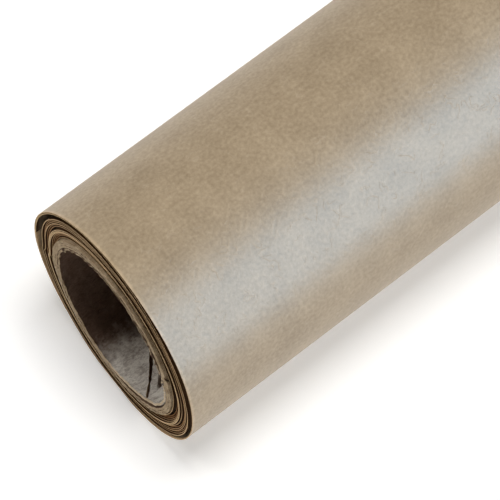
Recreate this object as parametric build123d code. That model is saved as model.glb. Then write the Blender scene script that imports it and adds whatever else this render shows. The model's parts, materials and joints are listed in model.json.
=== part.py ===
from build123d import *

import os
from math import cos, radians, sin, sqrt

# A roll of kraft wrapping paper, lying on its side. One long sheet is wound on a paperboard core
# that is itself wound from four plies. Millimetres: X runs along the roll, Z is up, and the origin
# is on the surface that the roll lies on, under the middle of its length.
# Angles are in degrees round the roll's axis, from +Y towards +Z. From the sheet's free edge
# inwards the angle grows, so the sheet is wound outwards with the angle falling.

# Driving dimensions
ROLL_LENGTH = 700.0  # width of the sheet, and length of the core
ROLL_RADIUS = 25.0  # outside of the loose outer turn
PAPER = 0.18  # thickness of the sheet

CORE_BORE_RADIUS = 17.0
PLY = 0.5  # thickness of one board ply of the core
PLY_NAMES = ["core_inner_ply", "core_second_ply", "core_third_ply", "core_outer_ply"]

TAPE = 0.15  # thickness of the adhesive strip that holds the first edge to the core
TAPE_SPAN = 60.0
FIRST_TURN_SPAN = 350.0

WINDING_GAP = 0.3  # play between two groups of turns that slide in each other
TURN_PITCH = 0.27  # radial growth of the windings in one turn
HALF_TURNS = 13  # in each group of windings

REST_WIDTH = 6.0  # flat strip of the outer turn, on the surface
FRONT_CORNER_RADIUS = 18.0  # from the flat strip up to the front of the roll
UNDER_TAIL_RADIUS = 24.55  # outside of the outer turn where the tail lies over it

TAIL_HINGE_ANGLE = 5.0  # where the loose tail leaves the outer turn
TAIL_SPAN = 55.0
TAIL_NAMES = ["tail_root", "tail_middle", "tail_end"]
TAIL_GAP = 0.3  # clearance at each bending line of the tail

# The roll's axis lies lower than its radius, because the outer turn is a little flat underneath.
AXIS_HEIGHT = FRONT_CORNER_RADIUS + sqrt(
    (ROLL_RADIUS - FRONT_CORNER_RADIUS) ** 2 - (REST_WIDTH / 2) ** 2
)
AXIS = Vector(0, AXIS_HEIGHT)
CORE_RADIUS = CORE_BORE_RADIUS + len(PLY_NAMES) * PLY
LEFT_END = Plane.YZ.offset(-ROLL_LENGTH / 2)


def on_circle(centre, radius, angle):
    """A point of the cross-section, at an angle on a circle."""
    return centre + Vector(radius * cos(radians(angle)), radius * sin(radians(angle)))


def arc(centre, radius, start, end):
    """An arc of the cross-section between two angles, in the order given."""
    middle = (start + end) / 2
    return ThreePointArc(*(on_circle(centre, radius, a) for a in (start, middle, end)))


def along_roll(outside, inside):
    """The full-width sheet whose cross-section lies between two chains of edges. Both run the same way."""
    caps = [Line(outside[0] @ 0, inside[0] @ 0), Line(outside[-1] @ 1, inside[-1] @ 1)]
    face = Face(Wire(outside + inside + caps))
    return extrude(LEFT_END * face, amount=ROLL_LENGTH, dir=(1, 0, 0))


def round_sheet(inner_radius, thickness, start, end):
    """A full-width sheet that lies on a circle round the roll's axis, between two angles."""
    return along_roll(
        [arc(AXIS, inner_radius + thickness, start, end)],
        [arc(AXIS, inner_radius, start, end)],
    )


def board_ply(inner_radius):
    """One ply of the core. Its helical butt joint is glued shut, so it is a plain tube of board."""
    tube = Circle(inner_radius + PLY) - Circle(inner_radius)
    return extrude(LEFT_END * Pos(0, AXIS_HEIGHT) * tube, amount=ROLL_LENGTH)


def windings(inner_radius, start):
    """A group of turns, wound outwards from a start angle of 0 or 180 as half circles on two centres."""
    growth = TURN_PITCH / 2
    outside, inside = [], []
    for half in range(HALF_TURNS):
        begin = start - 180 * half
        centre = on_circle(AXIS, growth / 2, begin - 180)
        radius = inner_radius + growth * half
        outside.append(arc(centre, radius + PAPER, begin, begin - 180))
        inside.append(arc(centre, radius, begin, begin - 180))
    return along_roll(outside, inside)


def outer_turn(start):
    """The loose outermost turn, from the tail's hinge over the top and front, then under the tail."""
    half_flat = REST_WIDTH / 2
    front = Vector(-half_flat, FRONT_CORNER_RADIUS)
    front_end = 270 - degrees_off_vertical(AXIS_HEIGHT - FRONT_CORNER_RADIUS)
    # The corner behind the flat strip is the one whose circle touches both the surface and the
    # circle of the sheet under the tail.
    back_radius = (UNDER_TAIL_RADIUS**2 - AXIS_HEIGHT**2 - half_flat**2) / (
        2 * (UNDER_TAIL_RADIUS - AXIS_HEIGHT)
    )
    back = Vector(half_flat, back_radius)
    back_start = 270 + degrees_off_vertical(AXIS_HEIGHT - back_radius)

    def chain(inset):
        return [
            arc(AXIS, ROLL_RADIUS - inset, start, front_end),
            arc(front, FRONT_CORNER_RADIUS - inset, front_end, 270),
            Line((-half_flat, inset), (half_flat, inset)),
            arc(back, back_radius - inset, 270, back_start),
            arc(AXIS, UNDER_TAIL_RADIUS - inset, back_start, 360),
        ]

    return along_roll(chain(0), chain(PAPER))


def degrees_off_vertical(drop):
    """The angle, from straight down, at which a corner beside the flat strip is seen from the axis."""
    return Vector(0, -1).get_angle(Vector(REST_WIDTH / 2, -drop))


def tail(gap):
    """The strips of the loose tail, from the hinge down to the free edge, each with its name."""
    span = TAIL_SPAN / len(TAIL_NAMES)
    for i, name in enumerate(TAIL_NAMES):
        upper = TAIL_HINGE_ANGLE - i * span - gap / 2
        lower = TAIL_HINGE_ANGLE - (i + 1) * span + gap / 2
        yield name, round_sheet(ROLL_RADIUS - PAPER, PAPER, lower, upper)


def build():
    """Every node of the roll, by name."""
    nodes = {}
    for i, name in enumerate(PLY_NAMES):
        nodes[name] = board_ply(CORE_BORE_RADIUS + i * PLY)

    nodes["start_tape"] = round_sheet(CORE_RADIUS, TAPE, FIRST_TURN_SPAN, FIRST_TURN_SPAN - TAPE_SPAN)
    first_radius = CORE_RADIUS + TAPE
    nodes["first_turn"] = round_sheet(first_radius, PAPER, FIRST_TURN_SPAN, 0)

    # Each group is as thick as its turns and the play that the next one needs.
    inner_radius = first_radius + PAPER + WINDING_GAP
    group = HALF_TURNS * TURN_PITCH / 2 + PAPER + WINDING_GAP
    nodes["inner_windings"] = windings(inner_radius, 0)
    nodes["outer_windings"] = windings(inner_radius + group, 180)

    bend_gap = TAIL_GAP / radians(1) / ROLL_RADIUS
    nodes["outer_turn"] = outer_turn(TAIL_HINGE_ANGLE + bend_gap / 2)
    nodes.update(tail(bend_gap))
    return nodes


os.makedirs("parts", exist_ok=True)
for node_name, shape in build().items():
    export_step(shape, f"parts/{node_name}.step")
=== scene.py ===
import json
from math import cos, pi, radians, sin

import bpy
import numpy as np
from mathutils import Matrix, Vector, noise


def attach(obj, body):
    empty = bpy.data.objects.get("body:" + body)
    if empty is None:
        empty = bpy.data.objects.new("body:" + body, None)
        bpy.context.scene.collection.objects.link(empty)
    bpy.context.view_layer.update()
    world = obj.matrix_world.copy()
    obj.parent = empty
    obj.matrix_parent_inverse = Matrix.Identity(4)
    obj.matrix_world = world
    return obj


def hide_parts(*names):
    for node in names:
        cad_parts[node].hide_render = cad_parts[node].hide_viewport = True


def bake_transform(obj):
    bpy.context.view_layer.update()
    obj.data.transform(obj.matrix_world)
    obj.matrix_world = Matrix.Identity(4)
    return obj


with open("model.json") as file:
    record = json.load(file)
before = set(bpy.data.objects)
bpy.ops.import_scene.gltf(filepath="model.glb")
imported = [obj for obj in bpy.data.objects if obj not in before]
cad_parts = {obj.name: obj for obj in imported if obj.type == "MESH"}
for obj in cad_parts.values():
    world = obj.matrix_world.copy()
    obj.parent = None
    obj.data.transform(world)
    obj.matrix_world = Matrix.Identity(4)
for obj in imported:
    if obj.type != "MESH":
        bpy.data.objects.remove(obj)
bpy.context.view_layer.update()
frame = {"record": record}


# ---------------------------------------------------------------------------------------------
# The core: a tube of grey-brown chipboard, wound from four strips of board in a helix and glued,
# then cut to length with a saw that leaves its ends torn and fluffy. At the left end the innermost
# strip has come unglued over a sixth of the turn, and its butt seam runs down inside the bore.
# ---------------------------------------------------------------------------------------------
core_mount = next(m for m in frame["record"]["mounts"] if m["name"] == "core_bore")
AXIS_HEIGHT = core_mount["pos_m"][2]
HALF_LENGTH = core_mount["dims"]["length_mm"] / 2000
BORE_RADIUS = core_mount["dims"]["r_mm"] / 1000
PLY_NODES = ["core_inner_ply", "core_second_ply", "core_third_ply", "core_outer_ply"]
INNERMOST, OUTERMOST = 0, 3
PLY = 0.0005
BOARD = PLY * 0.97  # thickness of a strip of board, which leaves a hair for the glue
CORE_PROTRUDES = 0.00047  # past the paper, at the left end

# The ends of the roll aren't quite square: they lean along the line that looks this way, in the
# cross-section. All angles round the roll go from +Y towards +Z.
LEAN_DIRECTION = radians(20.4)
LEAN = 0.068  # drift along the roll, for each unit of height in that direction

# Inside the loose outer turn the pack of paper and core has dropped a little, down and back.
DROP = 0.0005
DROP_DIRECTION = radians(280)

CREASE = radians(35)  # edges sharper than this stay sharp in the shading


def smooth_step(value):
    """0 below 0, 1 above 1, and a smooth rise between."""
    held = np.clip(value, 0, 1)
    return held * held * (3 - 2 * held)


def wander(values, seed):
    """Smooth noise from about -1 to 1 along a line of values."""
    drawn = [noise.noise(Vector((value, seed, 0.37))) for value in np.ravel(values)]
    return np.array(drawn).reshape(np.shape(values))


def round_the_roll(along, radius, angle, dropped=1.0):
    """Points round the roll's axis, with the lean of its ends and the drop of the pack."""
    y = radius * np.cos(angle) + dropped * DROP * cos(DROP_DIRECTION)
    z = radius * np.sin(angle) + dropped * DROP * sin(DROP_DIRECTION)
    lean = LEAN * (y * cos(LEAN_DIRECTION) + z * sin(LEAN_DIRECTION))
    return np.stack([along + lean, y, z + AXIS_HEIGHT], axis=-1)


def stations(first_step, fine_depth, growth):
    """Places along the roll, close together for a depth at each end and further apart between."""
    depth = [0.0]
    step = first_step
    while depth[-1] < HALF_LENGTH:
        depth.append(depth[-1] + step)
        step *= 1.0 if depth[-1] < fine_depth else growth
    left = np.array(depth[:-1]) - HALF_LENGTH
    return np.concatenate([left, -left[::-1]])


def rolled(name, along, columns, place, length, thickness, finishes, wear=None):
    """A sheet that is cut flat, laid round the roll and given its thickness outwards. Across the
    roll its lines lie at the stations given. place() says where its points go, from their station
    and their share of the sheet's length. The last function gives each point a value for the
    finishes, which are those of its outside, its inside and its cut edges: on the board, how far its
    skin is worn, with the painted light of the bore's lit patch; on the paper, how far an edge stands
    out, for the painted shade and painted light of its cut edges."""
    bpy.ops.object.select_all(action="DESELECT")
    bpy.ops.mesh.primitive_grid_add(x_subdivisions=len(along) - 1, y_subdivisions=columns, size=2)
    piece = bpy.context.object
    piece.name = piece.data.name = name
    mesh = piece.data
    flat = np.zeros(len(mesh.vertices) * 3)
    mesh.vertices.foreach_get("co", flat)
    flat = flat.reshape(-1, 3)
    line = np.rint((flat[:, 0] + 1) / 2 * (len(along) - 1)).astype(int)
    share = (flat[:, 1] + 1) / 2
    points = place(along[line], share)
    mesh.vertices.foreach_set("co", points.ravel())

    corner = np.zeros(len(mesh.loops), int)
    mesh.loops.foreach_get("vertex_index", corner)
    on_sheet = np.stack([along[line], share * length], axis=-1)[corner]
    mesh.uv_layers[0].name = "sheet"
    mesh.uv_layers["sheet"].uv.foreach_set("vector", on_sheet.ravel())
    # On the board the attribute is wear with painted light; on the paper it is how far an edge stands
    # out, for painted shade and light.
    if wear:
        wear_and_shading_layer = mesh.attributes.new("wear", "FLOAT", "POINT")
        wear_and_shading_layer.data.foreach_set("value", np.clip(wear(along[line], share), 0, 1))
    mesh.update()

    for finish in finishes:
        mesh.materials.append(finish)
    wall = piece.modifiers.new("thickness", "SOLIDIFY")
    wall.thickness = thickness
    wall.offset = 1
    wall.use_rim = True
    wall.material_offset = 1
    wall.material_offset_rim = 2
    bpy.ops.object.modifier_apply(modifier=wall.name)
    bpy.ops.object.shade_smooth_by_angle(angle=CREASE)
    return piece


class Signal:
    """A number, colour or vector on its way through a material's nodes. Arithmetic on it adds Math
    nodes."""

    COLOUR_A, COLOUR_B, COLOUR_OUT = 6, 7, 2  # a Mix node's sockets for colours

    def __init__(self, tree, socket=None):
        self.tree, self.socket = tree, socket

    def node(self, kind, settings, inputs, output=0):
        """The output of a new node: its settings are made first, then its inputs by name or number."""
        made = self.tree.nodes.new("ShaderNode" + kind)
        for key, value in settings.items():
            if key == "stops":
                ramp = made.color_ramp.elements
                while len(ramp) < len(value):
                    ramp.new(0.5)
                for stop, (position, colour) in zip(ramp, value):
                    stop.position, stop.color = position, (*colour, 1)
            else:
                setattr(made, key, value)
        for key, value in inputs.items():
            if isinstance(value, Signal):
                self.tree.links.new(value.socket, made.inputs[key])
            else:
                made.inputs[key].default_value = value
        return Signal(self.tree, made.outputs[output])

    def calculate(self, operation, *values, clamp=False):
        settings = {"operation": operation, "use_clamp": clamp}
        return self.node("Math", settings, dict(enumerate(values)))

    def __add__(self, other):
        return self.calculate("ADD", self, other)

    def __sub__(self, other):
        return self.calculate("SUBTRACT", self, other)

    def __rsub__(self, other):
        return self.calculate("SUBTRACT", other, self)

    def __mul__(self, other):
        return self.calculate("MULTIPLY", self, other)

    __radd__, __rmul__ = __add__, __mul__

    def between(self, low, high):
        """0 where it is below low, 1 above high, and a straight line between."""
        return self.calculate("MULTIPLY", self - low, 1 / (high - low), clamp=True)

    def mix(self, low, high):
        """A colour between two, by this number."""
        inputs = {"Factor": self, self.COLOUR_A: low, self.COLOUR_B: high}
        return self.node("Mix", {"data_type": "RGBA"}, inputs, output=self.COLOUR_OUT)

    def tinted(self, colour):
        """This colour times another."""
        settings = {"data_type": "RGBA", "blend_type": "MULTIPLY"}
        inputs = {"Factor": 1.0, self.COLOUR_A: self, self.COLOUR_B: colour}
        return self.node("Mix", settings, inputs, output=self.COLOUR_OUT)

    def into(self, shader, name):
        """Leads this to an input of a shader."""
        self.tree.links.new(self.socket, shader.inputs[name])


def new_finish(name, roughness, specular):
    """A material with only its shader, and the signal from which its other nodes are made."""
    material = bpy.data.materials.new(name)
    material.use_nodes = True
    shader = material.node_tree.nodes["Principled BSDF"]
    shader.inputs["Roughness"].default_value = roughness
    shader.inputs["Specular IOR Level"].default_value = specular
    return material, shader, Signal(material.node_tree)


def board_finish(name, dark, light, worn_and_lit_colour):
    """Chipboard: a pulp of many papers, with fibres and small pits in it. Where it is worn, its skin
    has gone and the pulp beneath is paler and greyer; on the bore's low side that pale patch is also
    painted light, where the light falls into the bore."""
    material, shader, start = new_finish(name, 0.9, 0.06)
    place = start.node("TexCoord", {}, {}, output="Object")
    pulp_inputs = {"Vector": place, "Scale": 500.0, "Detail": 5.0, "Roughness": 0.6}
    pulp = start.node("TexNoise", {}, pulp_inputs)
    stretched = start.node("Mapping", {}, {"Vector": place, "Scale": (900.0, 2400.0, 2400.0)})
    fibre_inputs = {"Vector": stretched, "Scale": 1.0, "Detail": 3.0, "Distortion": 1.5}
    fibres = start.node("TexNoise", {}, fibre_inputs)
    tone = pulp * 0.5 + fibres * 0.5
    skin = tone.between(0.35, 0.65).mix((*dark, 1), (*light, 1))
    pale_and_lit = tone.between(0.28, 0.56).mix((*light, 1), (*worn_and_lit_colour, 1))
    # Worn skin shows the pale pulp; on the bore's low side this pale patch is also painted light.
    wear = start.node("Attribute", {"attribute_name": "wear"}, {}, output="Fac")
    scuff_and_light_mask = (wear + (pulp - 0.5) * 0.6).between(0.1, 0.7)
    colour = scuff_and_light_mask.mix(skin, pale_and_lit)
    height = fibres * 0.6 + pulp * 0.4
    bump = start.node("Bump", {}, {"Strength": 0.8, "Distance": 0.0002, "Height": height})
    colour.into(shader, "Base Color")
    bump.into(shader, "Normal")
    return material


# The pale colours are worn pulp, and also painted light where the bore's low side is lit.
board_skin = board_finish(
    "chipboard",
    dark=(0.10, 0.058, 0.038),
    light=(0.19, 0.125, 0.09),
    worn_and_lit_colour=(0.84, 0.79, 0.71),
)
board_cut = board_finish(
    "chipboard_cut",
    dark=(0.22, 0.15, 0.085),
    light=(0.53, 0.41, 0.27),
    worn_and_lit_colour=(0.58, 0.46, 0.32),
)

SEAM_GAP = 0.0010
SEAM_ANGLE = radians(226)  # where the innermost seam meets the left end
SEAM_RISE = radians(4.6) / 0.001  # 4.6 degrees for each millimetre along the roll
SEAM_SHIFT = radians(97)  # from each ply's seam to the next one's
GOUGE_ANGLE = radians(241)
GOUGE_REACH = radians(8.5)  # from its middle to its ends, round the bore
GOUGE_ASIDE = 0.0027  # from the seam, along the roll
GOUGE_HALF_WIDTH = 0.0004
GOUGE_DEPTH = 0.0016  # in the innermost ply
GOUGE_LESS = 0.0004  # shallower in each next ply
UNGLUED_ANGLE = radians(243)
UNGLUED_REACH = radians(27)
# The patch where the innermost ply is worn pale, which is also painted light on the bore's lit low side
SCUFF_AND_LIGHT_ANGLE = radians(222)
SCUFF_AND_LIGHT_REACH = radians(54)
BEYOND_LIP = 1.0  # so far from an end that nothing of the lip is left


def inner_lip(depth, angle):
    """How far the innermost ply stands in from the bore's wall: it curls in where it has come unglued
    at the left end, and everywhere its cut edge is a little torn and rolled over."""
    beside = (angle - UNGLUED_ANGLE) / UNGLUED_REACH
    unglued = 0.0012 * np.exp(-(beside**2)) * np.exp(-depth / 0.006)
    lumps = np.maximum(wander(angle * 9, 5.1) + 0.4 * wander(angle * 31, 1.1) + 0.1, 0)
    rolled_over = (0.0001 + 0.0007 * lumps) * np.exp(-depth / 0.0007)
    waviness = 0.00007 * wander(angle * 5 + depth * 90, 9.4)
    return unglued + rolled_over + waviness


def gouge(depth, angle):
    """A short tear in the bore's wall, beside the seam and in line with it: 1 in its middle."""
    along_seam = (angle - SEAM_ANGLE) / SEAM_RISE
    across = (depth - GOUGE_ASIDE - along_seam) / GOUGE_HALF_WIDTH
    lengthways = (angle - GOUGE_ANGLE) / GOUGE_REACH
    return np.exp(-across**4 - lengthways**4)


def ply_place(number):
    """Where the points of a ply go: round the core in a helix whose edges nearly meet."""
    radius = BORE_RADIUS + number * PLY
    seam_angle = SEAM_ANGLE + number * SEAM_SHIFT

    def place(along, share):
        depth = along + HALF_LENGTH
        end_depth = np.minimum(depth, HALF_LENGTH - along)
        half_gap = SEAM_GAP / radius / 2 * (1 + 0.7 * wander(depth * 1400, 6.1 + number))
        start = seam_angle + SEAM_RISE * depth
        angle = start - half_gap - share * (2 * pi - 2 * half_gap)
        turned = np.mod(angle, 2 * pi)
        frayed = 0.00012 * wander(turned * 24, 3.0 * number)
        frayed = frayed + 0.00006 * wander(turned * 70, 7.7)
        frayed = frayed + 0.00010 * wander(turned * 3.1, 1.9 * number)
        ragged = along - CORE_PROTRUDES + frayed * np.exp(-end_depth / 0.0006)
        lifted = 0.00003 * wander(turned * 8, 2.2 + number) * np.exp(-end_depth / 0.002)
        out = radius + lifted
        if number < OUTERMOST:
            out = out + (GOUGE_DEPTH - GOUGE_LESS * number) * gouge(depth, turned)
        if number == INNERMOST:
            lip_depth = np.where(along > 0, end_depth + BEYOND_LIP, end_depth)
            out = out - inner_lip(lip_depth, turned)
        return round_the_roll(ragged, out, angle)

    return place


def scuffed_and_lit_patch(along, share):
    """Wear of the innermost ply, and painted light: its skin has gone from the low side of the bore near
    the left end, and that pale patch also stands for the light that falls into the bore there.
    """
    depth = along + HALF_LENGTH
    angle = np.mod(SEAM_ANGLE + SEAM_RISE * depth - share * 2 * pi, 2 * pi)
    low_side = np.exp(-(((angle - SCUFF_AND_LIGHT_ANGLE) / SCUFF_AND_LIGHT_REACH) ** 4))
    patchy = 1.15 + 0.3 * wander(angle * 6 + depth * 300, 14.2)
    return low_side * np.exp(-((depth / 0.018) ** 2)) * patchy - 2 * gouge(depth, angle)


GOUGED_STATIONS = stations(0.0004, 0.012, 1.3)
PLAIN_STATIONS = stations(0.0004, 0.0016, 1.8)
for number, node in enumerate(PLY_NODES):
    ply = rolled(
        node.replace("core_", "board_"),
        along=GOUGED_STATIONS if number < OUTERMOST else PLAIN_STATIONS,
        columns=330 if number == INNERMOST else 260,
        place=ply_place(number),
        length=2 * pi * (BORE_RADIUS + number * PLY),
        thickness=BOARD,
        finishes=[board_cut if number == OUTERMOST else board_skin, board_skin, board_cut],
        wear=scuffed_and_lit_patch if number == INNERMOST else None,
    )
    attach(ply, "core")
    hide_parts(node)


# ---------------------------------------------------------------------------------------------
# The tape that holds the sheet's first edge: a strip of clear adhesive film along the whole core,
# creamy where its gum shows. Only its cut ends can be seen, between the core and the first turn.
# ---------------------------------------------------------------------------------------------
CORE_RADIUS = BORE_RADIUS + len(PLY_NODES) * PLY
TAPE = 0.00015
FILM = TAPE * 0.9  # a hair less than the room between the core and the first turn
TAPE_BEGIN = radians(350)
TAPE_END = radians(290)


def tape_finish():
    """Matt adhesive film with fine wrinkles and small bubbles under it."""
    material, shader, start = new_finish("tape_film", 0.45, 0.5)
    shader.inputs["Alpha"].default_value = 0.6
    place = start.node("UVMap", {"uv_map": "sheet"}, {})
    wrinkles = start.node("TexNoise", {}, {"Vector": place, "Scale": 1100.0, "Detail": 3.0})
    colour = wrinkles.between(0.3, 0.7).mix((0.70, 0.62, 0.48, 1), (0.84, 0.77, 0.62, 1))
    bump = start.node("Bump", {}, {"Strength": 0.5, "Distance": 0.00005, "Height": wrinkles})
    colour.into(shader, "Base Color")
    bump.into(shader, "Normal")
    return material


def tape_place(along, share):
    """Where the points of the tape go. Its ends are cut with small teeth."""
    angle = TAPE_BEGIN + share * (TAPE_END - TAPE_BEGIN)
    cut = along - 0.0001 * np.sign(along) * (1 + wander(share * 40, 4.4))
    return round_the_roll(cut - CORE_PROTRUDES, CORE_RADIUS, angle)


tape_film = tape_finish()
tape_width = CORE_RADIUS * (TAPE_BEGIN - TAPE_END)
tape = rolled(
    "tape_strip",
    along=stations(0.004, 0.004, 1.9),
    columns=24,
    place=tape_place,
    length=tape_width,
    thickness=FILM,
    finishes=[tape_film, tape_film, tape_film],
)
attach(tape, "core")
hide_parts("start_tape")
2 * HALF_LENGTH


# ---------------------------------------------------------------------------------------------
# The sheet of kraft paper: one web, 0.70 m wide and about 2 m long, wound outwards on the core with
# its angle falling. It is drawn slack here and tight there, so that its edges lie in bundles, and
# some turns lie further in than others. Its pieces are lengths of the one spiral.
# ---------------------------------------------------------------------------------------------
PAPER = 0.00018
ROLL_RADIUS = 0.025
UNDER_TAIL_RADIUS = 0.0247
STEPS = 120  # of the spiral's table, in each turn
FIRST_ANGLE = radians(350)

# Turns of the sheet, counted from its first edge, at which its pieces begin and end. The first edge
# lies 10 degrees short of the roll's back. A half turn later the sheet has come to the front.
SHORT_OF_BACK = 10 / 360
AT_FRONT = 0.5 - SHORT_OF_BACK
FIRST_TURN_END = 1 - SHORT_OF_BACK
GROUP_TURNS = 6.5
INNER_END = FIRST_TURN_END + GROUP_TURNS
OUTER_END = INNER_END + GROUP_TURNS
TAIL_HINGE = OUTER_END + 1 - 5 / 360
SHEET_END = OUTER_END + 1 + 50 / 360

# Slack under each turn, and how far in from the roll's left end its edge lies, turn by turn
SLACK_MM = [
    *(0, 0.54, 0.18, 0.10, 0.08, 0.05, 0.04, 0.08),
    *(0.52, 0.18, 0.11, 0.11, 0.14, 0.14, 0.02, 0.3),
]
RECESS_MM = [
    *(-0.35, 0.50, 0.60, 0.50, 0.30, -0.05, -0.10, 0.0),
    *(0.55, 0.50, 0.15, 0.45, 0.50, 0.05, -0.02, 0, 0),
]
DEEPEST_MM = 0.60
LEAST_SLACK = 0.000012
LOOSENING = 0.32  # of a turn, over which the sheet comes off the pack
PAST_TAIL = 0.08  # of a turn, over which the outer turn rises beside the tail's free edge


def turn_angle(turn):
    """The angle at which a turn of the sheet is, round the roll's axis."""
    return FIRST_ANGLE - 2 * pi * turn


def loosened(turn):
    """How far the sheet has come off the pack, from 0 to 1. It comes loose over the roll's front side."""
    return smooth_step((turn - OUTER_END + 0.5) / LOOSENING)


def outer_surface(turn):
    """Outside of the loose outer turn and its tail: round, flat where it lies on the surface, and
    drawn in where the tail lies over it."""
    angle = turn_angle(turn)
    past_tail = smooth_step((turn - (SHEET_END - 1)) / PAST_TAIL)
    round_side = UNDER_TAIL_RADIUS + (ROLL_RADIUS - UNDER_TAIL_RADIUS) * past_tail
    down = np.maximum(-np.sin(angle), 0.05)
    flat_side = AXIS_HEIGHT / down
    softness = 0.00010  # of the bends between the flat strip and the round sides
    weights = np.exp(-round_side / softness) + np.exp(-flat_side / softness)
    pressed = -softness * np.log(weights)
    return np.where(turn < TAIL_HINGE, pressed, round_side)


def wound_radius():
    """The sheet's inner surface at each step of the spiral, from the core outwards."""
    count = int(SHEET_END * STEPS) + 2
    turn = np.arange(count) / STEPS
    slack = np.interp(turn, range(len(SLACK_MM)), SLACK_MM) * 0.001
    slack = slack * (1 + 0.5 * wander(turn * 3.7, 12.3)) + LEAST_SLACK
    radius = np.full(count, CORE_RADIUS + TAPE)
    for i in range(STEPS, count):
        radius[i] = radius[i - STEPS] + PAPER + slack[i]
    return turn, radius + (outer_surface(turn) - PAPER - radius) * loosened(turn)


SPIRAL_TURNS, SPIRAL_RADII = wound_radius()
step_lengths = 2 * pi / STEPS * (SPIRAL_RADII[1:] + SPIRAL_RADII[:-1]) / 2
SPIRAL_LENGTHS = np.concatenate([[0.0], np.cumsum(step_lengths)])


def kraft_finish(name, painted_edge_shading, reach, gloss=0.5, edge_shade_and_light=((1, 1, 1), (1, 1, 1))):
    """Brown kraft: long softwood fibres, felted and calendered to a low, even gloss. Its border along
    the web's cut edges takes a tint given for each finish: painted shade, dark brown, in the gaps
    between the wound turns, a painted highlight along the loose turn's outside and painted light on
    its inside. The two edge tints are painted shade on edges that lie in from the roll's end and
    painted light on edges that stand out."""
    material, shader, start = new_finish(name, 0.98 - gloss, gloss)
    place = start.node("UVMap", {"uv_map": "sheet"}, {})
    clouds = start.node("TexNoise", {}, {"Vector": place, "Scale": 130.0, "Detail": 3.0})
    felt_inputs = {"Vector": place, "Scale": 1300.0, "Detail": 3.0, "Roughness": 0.6}
    felt = start.node("TexNoise", {}, felt_inputs)
    curl_inputs = {"Vector": place, "Scale": 420.0, "Detail": 1.0, "Distortion": 0.6}
    curls = start.node("TexNoise", {}, curl_inputs)
    sparse = start.node("TexNoise", {}, {"Vector": place, "Scale": 300.0, "Detail": 0.0})
    on_line = curls.calculate("ABSOLUTE", curls - 0.5).between(0.016, 0.0)
    fibres = on_line * sparse.between(0.52, 0.6)
    tone = clouds * 0.35 + felt * 0.65
    colour = tone.between(0.33, 0.67).mix((0.305, 0.23, 0.145, 1), (0.465, 0.364, 0.245, 1))
    colour = (fibres * 0.3).mix(colour, (0.54, 0.44, 0.32, 1))
    across = start.node("SeparateXYZ", {}, {"Vector": place})
    depth = HALF_LENGTH - across.calculate("ABSOLUTE", across)
    # Painted shading in a band along the web's cut edges, by the border tint of each finish.
    colour = colour.tinted(depth.between(0.0003, reach).mix((*painted_edge_shading, 1), (1, 1, 1, 1)))
    # Painted shade on cut edges that lie in from the roll's end, painted light on those that stand out.
    wear = start.node("Attribute", {"attribute_name": "wear"}, {}, output="Fac")
    colour = colour.tinted(wear.mix((*edge_shade_and_light[0], 1), (*edge_shade_and_light[1], 1)))
    height = felt * 0.6 + fibres * 0.4
    bump = start.node("Bump", {}, {"Strength": 0.5, "Distance": 0.00012, "Height": height})
    colour.into(shader, "Base Color")
    bump.into(shader, "Normal")
    return material


MATT = 0.05  # gloss of the faces inside the roll and of the cut edges
# Painted shade, dark brown, on cut edges that lie in, and painted light on cut edges that stand out
EDGE_SHADE_AND_LIGHT = ((0.66, 0.38, 0.20), (1.62, 1.47, 1.26))
# The loose turn's outside: a painted highlight along its cut edges
kraft_outside = kraft_finish("kraft_outside", (1.26, 1.23, 1.18), 0.0006)
# The loose turn's inside: painted light along its cut edges, where shade falls
kraft_inside = kraft_finish("kraft_inside", (1.5, 1.3, 1.1), 0.0012, MATT)
# The wound turns: painted shade, dark brown, along their cut edges, for the gaps between the turns
kraft_wound = kraft_finish("kraft_wound", (0.15, 0.09, 0.055), 0.003, MATT)
kraft_edge = kraft_finish("kraft_cut_edge", (1, 1, 1), 0.001, MATT, EDGE_SHADE_AND_LIGHT)


def near(angle, middle, reach):
    """1 at a middle angle round the roll and less to both sides of it. Middle and reach are in
    degrees."""
    aside = np.mod(angle - radians(middle) + pi, 2 * pi) - pi
    return np.exp(-(aside / radians(reach)) ** 2)


def edge_recess(turn):
    """How far in the sheet's edge lies. The pack's edges are nearly level where it hangs on the core's
    upper side. The loose outer turn stands out behind and has slipped in towards the front."""
    angle = turn_angle(turn)
    of_turn = np.interp(turn, range(len(RECESS_MM)), RECESS_MM) * 0.001
    of_pack = of_turn * (1 - 0.75 * near(angle, 70, 38))
    of_loose_turn = 0.00045 * near(angle, 145, 42) - 0.0005 * near(angle, 10, 42)
    return of_pack + of_loose_turn * loosened(turn)


def kept_inside(turn, points):
    """The points of a turn, drawn in where the pack has dropped so far that it would come through the
    turns outside it or through the flat strip that the roll lies on. It can still turn there."""
    past_pack = turn - (OUTER_END - 0.5)
    layer = 1.1 * PAPER  # what each turn takes of the room inside the loose one
    opening = 0.01  # of that room, for each turn by which the sheet has left the pack
    room = AXIS_HEIGHT - PAPER - layer + layer * np.minimum(past_pack, 0)
    room = room + opening * np.maximum(past_pack, 0)
    away = np.hypot(points[:, 1], points[:, 2] - AXIS_HEIGHT)
    softness = 0.00003  # of the bends where a turn starts to be drawn in
    held = room - softness * np.logaddexp(0, (room - away) / softness)
    drawn_in = np.where(turn < OUTER_END, np.minimum(held / away, 1), 1)
    points[:, 1] *= drawn_in
    points[:, 2] = AXIS_HEIGHT + (points[:, 2] - AXIS_HEIGHT) * drawn_in
    return points


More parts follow.
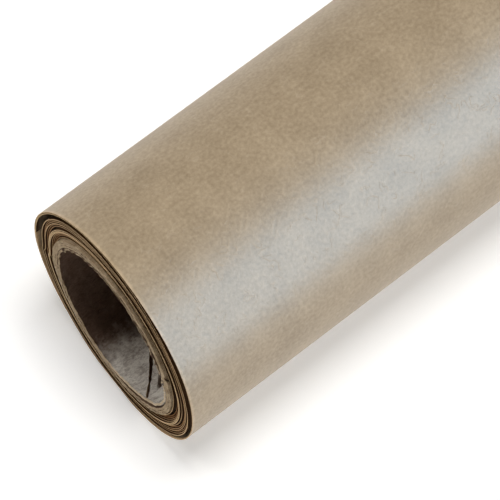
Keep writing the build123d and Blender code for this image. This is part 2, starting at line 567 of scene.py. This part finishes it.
def wind(name, begin, end, columns_a_turn, along):
    """The length of the sheet between two turns of the spiral."""
    end_length = np.interp(end, SPIRAL_TURNS, SPIRAL_LENGTHS)
    length = float(end_length - np.interp(begin, SPIRAL_TURNS, SPIRAL_LENGTHS))

    def place(station, share):
        turn = begin + share * (end - begin)
        radius = np.interp(turn, SPIRAL_TURNS, SPIRAL_RADII)
        angle = turn_angle(turn)
        uneven = 0.00006 * wander(turn * 9, 2.6)
        rough = 0.000025 * wander(turn * 160, 8.8)
        edge = station + (edge_recess(turn) + uneven + rough)
        points = round_the_roll(edge, radius, angle, 1 - loosened(turn))
        return kept_inside(turn, points)

    # How far each edge stands out, for the painted shade and painted light of the cut edges
    def standing_out(station, share):
        turn = begin + share * (end - begin)
        return 1 - edge_recess(turn) * 1000 / DEEPEST_MM

    columns = max(8, round((end - begin) * columns_a_turn))
    faces = [kraft_wound, kraft_wound] if end <= OUTER_END else [kraft_outside, kraft_inside]
    piece = rolled(name, along, columns, place, length, PAPER, [*faces, kraft_edge], standing_out)
    2 * HALF_LENGTH
    return piece


PACK_STATIONS = stations(0.0012, 0.002, 1.7)
PACK_COLUMNS = 96  # in each turn


def across_gap(name, begin, end):
    """Makes a half turn that joins two groups of turns."""
    piece = wind(name, begin, end, PACK_COLUMNS, PACK_STATIONS)
    front, back = (0, -ROLL_RADIUS, AXIS_HEIGHT), (0, ROLL_RADIUS, AXIS_HEIGHT)
    ends = (front, back) if cos(turn_angle(begin)) < 0 else (back, front)
    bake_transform(piece)


first_turn = wind("first_turn_paper", 0, AT_FRONT, PACK_COLUMNS, PACK_STATIONS)
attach(first_turn, "core")
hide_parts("first_turn")
across_gap("paper_leaving_core", AT_FRONT, FIRST_TURN_END)

inner_turns = wind("inner_turns", FIRST_TURN_END, INNER_END - 0.5, PACK_COLUMNS, PACK_STATIONS)
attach(inner_turns, "inner_windings")
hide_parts("inner_windings")
across_gap("paper_between_groups", INNER_END - 0.5, INNER_END)

outer_turns = wind("outer_turns", INNER_END, OUTER_END - 0.5, PACK_COLUMNS, PACK_STATIONS)
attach(outer_turns, "outer_windings")
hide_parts("outer_windings")
across_gap("paper_coming_loose", OUTER_END - 0.5, OUTER_END)


# ---------------------------------------------------------------------------------------------
# The loose outer turn and the tail of the sheet, which lifts off the roll behind. The tail is
# three lengths of paper, each round one of its bending lines.
# ---------------------------------------------------------------------------------------------
TAIL_NODES = ["tail_root", "tail_middle", "tail_end"]
TAIL_BENDS = [radians(5), radians(-13.33), radians(-31.67)]  # its bending lines
TAIL_JOINS = [radians(21.5), radians(-2.2), radians(-25.6), radians(-50)]  # ends of its lengths
BEND_REACH = radians(4)  # to each side of a bending line, where the paper gives
OUTER_STATIONS = stations(0.0008, 0.004, 1.35)
OUTER_COLUMNS = 150  # in each turn


def outside_turn(angle):
    """The turn at which the outermost layer of the sheet passes an angle."""
    return OUTER_END + 1 - angle / (2 * pi)


TAIL_BEGIN = outside_turn(TAIL_JOINS[0])
outer_turn = wind("outer_turn_paper", OUTER_END, TAIL_BEGIN, OUTER_COLUMNS, OUTER_STATIONS)
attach(outer_turn, "outer_turn")
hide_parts("outer_turn")

for number, node in enumerate(TAIL_NODES):
    begin = outside_turn(TAIL_JOINS[number])
    end = outside_turn(TAIL_JOINS[number + 1])
    strip = wind(f"{node}_paper", begin, end, OUTER_COLUMNS, OUTER_STATIONS)
    above = TAIL_BENDS[number] + BEND_REACH
    below = TAIL_BENDS[number] - BEND_REACH
    AXIS_HEIGHT + ROLL_RADIUS * sin(above)
    AXIS_HEIGHT + ROLL_RADIUS * sin(below)
    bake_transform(strip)
    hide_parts(node)


# ---------------------------------------------------------------------------------------------
# The studio: a plain white surface, soft lamps above, behind and in front, and the camera.
# ---------------------------------------------------------------------------------------------
def floor_finish():
    """A lit white table, bright enough that only the middle of a shadow shows on it."""
    material, shader, _ = new_finish("white_table", 1.0, 0.0)
    shader.inputs["Base Color"].default_value = (0.9, 0.9, 0.9, 1)
    shader.inputs["Emission Color"].default_value = (1, 1, 1, 1)
    shader.inputs["Emission Strength"].default_value = 0.28
    return material


bpy.ops.object.select_all(action="DESELECT")
bpy.ops.mesh.primitive_plane_add(size=24, location=(0, 0, -0.00005))
floor = bpy.context.object
floor.name = "white_table"
floor.data.materials.append(floor_finish())

near_end = Vector((-HALF_LENGTH, 0, AXIS_HEIGHT))
LAMP_DISTANCE = 6.0


def softbox(name, direction, size, power, colour, shines_on):
    """A square lamp that looks at the roll's near end from a direction. It lights either what is
    matt or what is glossy."""
    lamp = bpy.data.lights.new(name, "AREA")
    lamp.shape = "SQUARE"
    lamp.size = size
    lamp.energy = power
    lamp.color = colour
    stand = bpy.data.objects.new(name, lamp)
    bpy.context.collection.objects.link(stand)
    away = Vector(direction).normalized()
    stand.location = near_end + away * LAMP_DISTANCE
    stand.rotation_mode = "QUATERNION"
    stand.rotation_quaternion = (-away).to_track_quat("-Z", "Y")
    stand.visible_diffuse = shines_on == "matt"
    stand.visible_glossy = shines_on == "gloss"
    stand.visible_camera = False


WARM_WHITE = (1, 0.99, 0.97)
softbox("lamp_above", (0.13, 0.0, 1.0), 2.55, 246, (1, 0.995, 0.98), "matt")
softbox("lamp_end", (-0.34, 0.74, 0.55), 1.5, 94, (1, 0.98, 0.95), "matt")
softbox("lamp_front", (0.30, -0.84, 0.46), 3.3, 126, WARM_WHITE, "matt")
softbox("lamp_back", (0.10, 0.93, 0.35), 2.5, 8, WARM_WHITE, "matt")

# The sheen along the roll comes from three windows, each with its slope in degrees and its power
SKY_BLUE = (0.50, 0.764, 1)
ALONG, ACROSS = 0.38, 0.925  # parts of a window's direction
for slope, power in [(128, 180), (143, 300), (172, 340)]:
    window = (ALONG, ACROSS * cos(radians(slope)), ACROSS * sin(radians(slope)))
    softbox(f"window_{slope}", window, 1.65, power, SKY_BLUE, "gloss")

world = bpy.data.worlds.new("studio")
world.use_nodes = True
bpy.context.scene.world = world
room = Signal(world.node_tree)
seen = room.node("LightPath", {}, {}, output="Is Camera Ray")
background = world.node_tree.nodes["Background"]
WORLD_LIGHT = 0.05  # the camera sees the world white, but it hardly lights the roll
strength = seen * (1 - WORLD_LIGHT) + WORLD_LIGHT
strength.into(background, "Strength")
background.inputs["Color"].default_value = (1, 1, 1, 1)

CAMERA_AZIMUTH = radians(-39.81)
CAMERA_ELEVATION = radians(63.43)
CAMERA_LENS = 285.1
CAMERA_DISTANCE = 0.7382
ASIDE, ABOVE = 0.0255, 0.01417  # how far the view's middle is from the near end

level = cos(CAMERA_ELEVATION)
to_camera = Vector(
    (sin(CAMERA_AZIMUTH) * level, -cos(CAMERA_AZIMUTH) * level, sin(CAMERA_ELEVATION))
)
right = Vector((cos(CAMERA_AZIMUTH), sin(CAMERA_AZIMUTH), 0))
up = to_camera.cross(right)
camera = bpy.data.objects.new("camera", bpy.data.cameras.new("camera"))
bpy.context.collection.objects.link(camera)
camera.data.lens = CAMERA_LENS
camera.data.clip_start = 0.05
camera.data.clip_end = 100
camera.location = near_end + to_camera * CAMERA_DISTANCE + right * ASIDE + up * ABOVE
camera.rotation_mode = "QUATERNION"
camera.rotation_quaternion = (-to_camera).to_track_quat("-Z", "Y")
bpy.context.scene.camera = camera
bpy.context.scene.view_settings.view_transform = "Standard"
